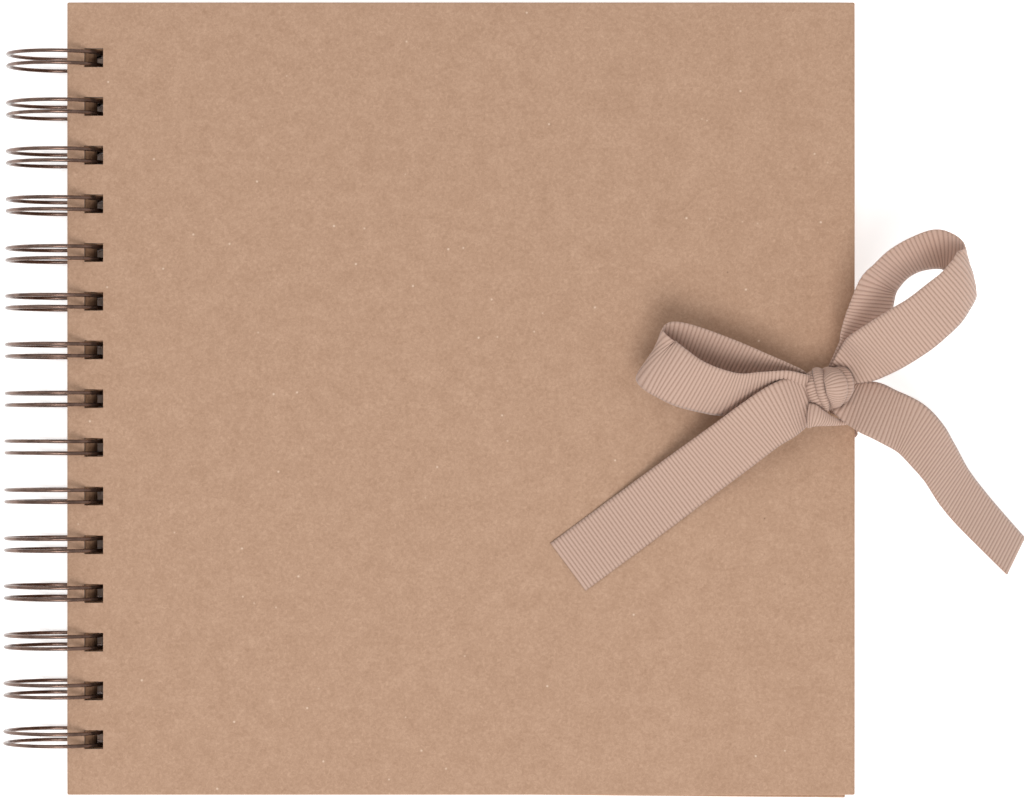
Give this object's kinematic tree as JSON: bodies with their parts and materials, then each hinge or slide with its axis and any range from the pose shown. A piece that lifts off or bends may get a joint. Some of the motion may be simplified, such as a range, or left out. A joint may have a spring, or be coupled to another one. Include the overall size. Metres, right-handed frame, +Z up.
{
  "type": "scrapbook album",
  "caption": "Square kraft-covered scrapbook album bound with bronze twin-loop wire and tied shut with a grosgrain ribbon bow at the fore-edge.",
  "frame": {"origin": "middle of the footprint, on the surface that the closed album lies on", "axes": "+X from the wire spine to the fore-edge with the bow, +Y along the spine towards the head, +Z up out of the front cover"},
  "size_m": [0.2672, 0.2088, 0.0409],
  "materials": {
    "kraft_cover_paper": "uncoated kraft paper, matt, flecked",
    "greyboard": "raw pressed board",
    "endpaper": "uncoated kraft paper, matt",
    "leaf_card": "uncoated kraft card, matt",
    "bronze_wire": "antique bronze coating, satin",
    "grosgrain_ribbon": "ribbed grosgrain weave, soft sheen"
  },
  "bodies": {
    "binding": {"back_board": "greyboard", "back_wrap": "kraft_cover_paper", "back_endpaper": "endpaper", "twin_loop_wire": "bronze_wire", "ribbon_back_lead": "grosgrain_ribbon"},
    "leaf_01": {"leaf_01": "leaf_card"},
    "leaf_02": {"leaf_02": "leaf_card"},
    "leaf_03": {"leaf_03": "leaf_card"},
    "leaf_04": {"leaf_04": "leaf_card"},
    "leaf_05": {"leaf_05": "leaf_card"},
    "leaf_06": {"leaf_06": "leaf_card"},
    "leaf_07": {"leaf_07": "leaf_card"},
    "leaf_08": {"leaf_08": "leaf_card"},
    "leaf_09": {"leaf_09": "leaf_card"},
    "leaf_10": {"leaf_10": "leaf_card"},
    "leaf_11": {"leaf_11": "leaf_card"},
    "leaf_12": {"leaf_12": "leaf_card"},
    "leaf_13": {"leaf_13": "leaf_card"},
    "leaf_14": {"leaf_14": "leaf_card"},
    "leaf_15": {"leaf_15": "leaf_card"},
    "leaf_16": {"leaf_16": "leaf_card"},
    "leaf_17": {"leaf_17": "leaf_card"},
    "leaf_18": {"leaf_18": "leaf_card"},
    "leaf_19": {"leaf_19": "leaf_card"},
    "leaf_20": {"leaf_20": "leaf_card"},
    "leaf_21": {"leaf_21": "leaf_card"},
    "leaf_22": {"leaf_22": "leaf_card"},
    "leaf_23": {"leaf_23": "leaf_card"},
    "leaf_24": {"leaf_24": "leaf_card"},
    "leaf_25": {"leaf_25": "leaf_card"},
    "leaf_26": {"leaf_26": "leaf_card"},
    "leaf_27": {"leaf_27": "leaf_card"},
    "leaf_28": {"leaf_28": "leaf_card"},
    "leaf_29": {"leaf_29": "leaf_card"},
    "leaf_30": {"leaf_30": "leaf_card"},
    "front_cover": {"front_board": "greyboard", "front_wrap": "kraft_cover_paper", "front_endpaper": "endpaper", "ribbon_front_lead": "grosgrain_ribbon", "ribbon_knot": "grosgrain_ribbon", "ribbon_left_loop": "grosgrain_ribbon", "ribbon_right_loop": "grosgrain_ribbon", "ribbon_left_tail": "grosgrain_ribbon", "ribbon_right_tail": "grosgrain_ribbon"}
  },
  "joints": [
    {"name": "front_cover_hinge", "type": "hinge", "parent": "binding", "child": "front_cover", "pos_m": [-0.1206, 0.00101, 0.01301], "axis": [0, -1, 0], "range_deg": [0, 180]},
    {"name": "leaf_01_hinge", "type": "hinge", "parent": "binding", "child": "leaf_01", "pos_m": [-0.1206, 0.00101, 0.01301], "axis": [0, -1, 0], "range_deg": [0, 180]},
    {"name": "leaf_02_hinge", "type": "hinge", "parent": "binding", "child": "leaf_02", "pos_m": [-0.1206, 0.00101, 0.01301], "axis": [0, -1, 0], "range_deg": [0, 180]},
    {"name": "leaf_03_hinge", "type": "hinge", "parent": "binding", "child": "leaf_03", "pos_m": [-0.1206, 0.00101, 0.01301], "axis": [0, -1, 0], "range_deg": [0, 180]},
    {"name": "leaf_04_hinge", "type": "hinge", "parent": "binding", "child": "leaf_04", "pos_m": [-0.1206, 0.00101, 0.01301], "axis": [0, -1, 0], "range_deg": [0, 180]},
    {"name": "leaf_05_hinge", "type": "hinge", "parent": "binding", "child": "leaf_05", "pos_m": [-0.1206, 0.00101, 0.01301], "axis": [0, -1, 0], "range_deg": [0, 180]},
    {"name": "leaf_06_hinge", "type": "hinge", "parent": "binding", "child": "leaf_06", "pos_m": [-0.1206, 0.00101, 0.01301], "axis": [0, -1, 0], "range_deg": [0, 180]},
    {"name": "leaf_07_hinge", "type": "hinge", "parent": "binding", "child": "leaf_07", "pos_m": [-0.1206, 0.00101, 0.01301], "axis": [0, -1, 0], "range_deg": [0, 180]},
    {"name": "leaf_08_hinge", "type": "hinge", "parent": "binding", "child": "leaf_08", "pos_m": [-0.1206, 0.00101, 0.01301], "axis": [0, -1, 0], "range_deg": [0, 180]},
    {"name": "leaf_09_hinge", "type": "hinge", "parent": "binding", "child": "leaf_09", "pos_m": [-0.1206, 0.00101, 0.01301], "axis": [0, -1, 0], "range_deg": [0, 180]},
    {"name": "leaf_10_hinge", "type": "hinge", "parent": "binding", "child": "leaf_10", "pos_m": [-0.1206, 0.00101, 0.01301], "axis": [0, -1, 0], "range_deg": [0, 180]},
    {"name": "leaf_11_hinge", "type": "hinge", "parent": "binding", "child": "leaf_11", "pos_m": [-0.1206, 0.00101, 0.01301], "axis": [0, -1, 0], "range_deg": [0, 180]},
    {"name": "leaf_12_hinge", "type": "hinge", "parent": "binding", "child": "leaf_12", "pos_m": [-0.1206, 0.00101, 0.01301], "axis": [0, -1, 0], "range_deg": [0, 180]},
    {"name": "leaf_13_hinge", "type": "hinge", "parent": "binding", "child": "leaf_13", "pos_m": [-0.1206, 0.00101, 0.01301], "axis": [0, -1, 0], "range_deg": [0, 180]},
    {"name": "leaf_14_hinge", "type": "hinge", "parent": "binding", "child": "leaf_14", "pos_m": [-0.1206, 0.00101, 0.01301], "axis": [0, -1, 0], "range_deg": [0, 180]},
    {"name": "leaf_15_hinge", "type": "hinge", "parent": "binding", "child": "leaf_15", "pos_m": [-0.1206, 0.00101, 0.01301], "axis": [0, -1, 0], "range_deg": [0, 180]},
    {"name": "leaf_16_hinge", "type": "hinge", "parent": "binding", "child": "leaf_16", "pos_m": [-0.1206, 0.00101, 0.01301], "axis": [0, -1, 0], "range_deg": [0, 180]},
    {"name": "leaf_17_hinge", "type": "hinge", "parent": "binding", "child": "leaf_17", "pos_m": [-0.1206, 0.00101, 0.01301], "axis": [0, -1, 0], "range_deg": [0, 180]},
    {"name": "leaf_18_hinge", "type": "hinge", "parent": "binding", "child": "leaf_18", "pos_m": [-0.1206, 0.00101, 0.01301], "axis": [0, -1, 0], "range_deg": [0, 180]},
    {"name": "leaf_19_hinge", "type": "hinge", "parent": "binding", "child": "leaf_19", "pos_m": [-0.1206, 0.00101, 0.01301], "axis": [0, -1, 0], "range_deg": [0, 180]},
    {"name": "leaf_20_hinge", "type": "hinge", "parent": "binding", "child": "leaf_20", "pos_m": [-0.1206, 0.00101, 0.01301], "axis": [0, -1, 0], "range_deg": [0, 180]},
    {"name": "leaf_21_hinge", "type": "hinge", "parent": "binding", "child": "leaf_21", "pos_m": [-0.1206, 0.00101, 0.01301], "axis": [0, -1, 0], "range_deg": [0, 180]},
    {"name": "leaf_22_hinge", "type": "hinge", "parent": "binding", "child": "leaf_22", "pos_m": [-0.1206, 0.00101, 0.01301], "axis": [0, -1, 0], "range_deg": [0, 180]},
    {"name": "leaf_23_hinge", "type": "hinge", "parent": "binding", "child": "leaf_23", "pos_m": [-0.1206, 0.00101, 0.01301], "axis": [0, -1, 0], "range_deg": [0, 180]},
    {"name": "leaf_24_hinge", "type": "hinge", "parent": "binding", "child": "leaf_24", "pos_m": [-0.1206, 0.00101, 0.01301], "axis": [0, -1, 0], "range_deg": [0, 180]},
    {"name": "leaf_25_hinge", "type": "hinge", "parent": "binding", "child": "leaf_25", "pos_m": [-0.1206, 0.00101, 0.01301], "axis": [0, -1, 0], "range_deg": [0, 180]},
    {"name": "leaf_26_hinge", "type": "hinge", "parent": "binding", "child": "leaf_26", "pos_m": [-0.1206, 0.00101, 0.01301], "axis": [0, -1, 0], "range_deg": [0, 180]},
    {"name": "leaf_27_hinge", "type": "hinge", "parent": "binding", "child": "leaf_27", "pos_m": [-0.1206, 0.00101, 0.01301], "axis": [0, -1, 0], "range_deg": [0, 180]},
    {"name": "leaf_28_hinge", "type": "hinge", "parent": "binding", "child": "leaf_28", "pos_m": [-0.1206, 0.00101, 0.01301], "axis": [0, -1, 0], "range_deg": [0, 180]},
    {"name": "leaf_29_hinge", "type": "hinge", "parent": "binding", "child": "leaf_29", "pos_m": [-0.1206, 0.00101, 0.01301], "axis": [0, -1, 0], "range_deg": [0, 180]},
    {"name": "leaf_30_hinge", "type": "hinge", "parent": "binding", "child": "leaf_30", "pos_m": [-0.1206, 0.00101, 0.01301], "axis": [0, -1, 0], "range_deg": [0, 180]}
  ],
  "couplings": [
    {"joint": "leaf_01_hinge", "follows": "front_cover_hinge", "ratio": 0.032258},
    {"joint": "leaf_02_hinge", "follows": "front_cover_hinge", "ratio": 0.064516},
    {"joint": "leaf_03_hinge", "follows": "front_cover_hinge", "ratio": 0.096774},
    {"joint": "leaf_04_hinge", "follows": "front_cover_hinge", "ratio": 0.12903},
    {"joint": "leaf_05_hinge", "follows": "front_cover_hinge", "ratio": 0.16129},
    {"joint": "leaf_06_hinge", "follows": "front_cover_hinge", "ratio": 0.19355},
    {"joint": "leaf_07_hinge", "follows": "front_cover_hinge", "ratio": 0.22581},
    {"joint": "leaf_08_hinge", "follows": "front_cover_hinge", "ratio": 0.25806},
    {"joint": "leaf_09_hinge", "follows": "front_cover_hinge", "ratio": 0.29032},
    {"joint": "leaf_10_hinge", "follows": "front_cover_hinge", "ratio": 0.32258},
    {"joint": "leaf_11_hinge", "follows": "front_cover_hinge", "ratio": 0.35484},
    {"joint": "leaf_12_hinge", "follows": "front_cover_hinge", "ratio": 0.3871},
    {"joint": "leaf_13_hinge", "follows": "front_cover_hinge", "ratio": 0.41935},
    {"joint": "leaf_14_hinge", "follows": "front_cover_hinge", "ratio": 0.45161},
    {"joint": "leaf_15_hinge", "follows": "front_cover_hinge", "ratio": 0.48387},
    {"joint": "leaf_16_hinge", "follows": "front_cover_hinge", "ratio": 0.51613},
    {"joint": "leaf_17_hinge", "follows": "front_cover_hinge", "ratio": 0.54839},
    {"joint": "leaf_18_hinge", "follows": "front_cover_hinge", "ratio": 0.58064},
    {"joint": "leaf_19_hinge", "follows": "front_cover_hinge", "ratio": 0.6129},
    {"joint": "leaf_20_hinge", "follows": "front_cover_hinge", "ratio": 0.64516},
    {"joint": "leaf_21_hinge", "follows": "front_cover_hinge", "ratio": 0.67742},
    {"joint": "leaf_22_hinge", "follows": "front_cover_hinge", "ratio": 0.70968},
    {"joint": "leaf_23_hinge", "follows": "front_cover_hinge", "ratio": 0.74194},
    {"joint": "leaf_24_hinge", "follows": "front_cover_hinge", "ratio": 0.77419},
    {"joint": "leaf_25_hinge", "follows": "front_cover_hinge", "ratio": 0.80645},
    {"joint": "leaf_26_hinge", "follows": "front_cover_hinge", "ratio": 0.83871},
    {"joint": "leaf_27_hinge", "follows": "front_cover_hinge", "ratio": 0.87097},
    {"joint": "leaf_28_hinge", "follows": "front_cover_hinge", "ratio": 0.90323},
    {"joint": "leaf_29_hinge", "follows": "front_cover_hinge", "ratio": 0.93548},
    {"joint": "leaf_30_hinge", "follows": "front_cover_hinge", "ratio": 0.96774}
  ]
}
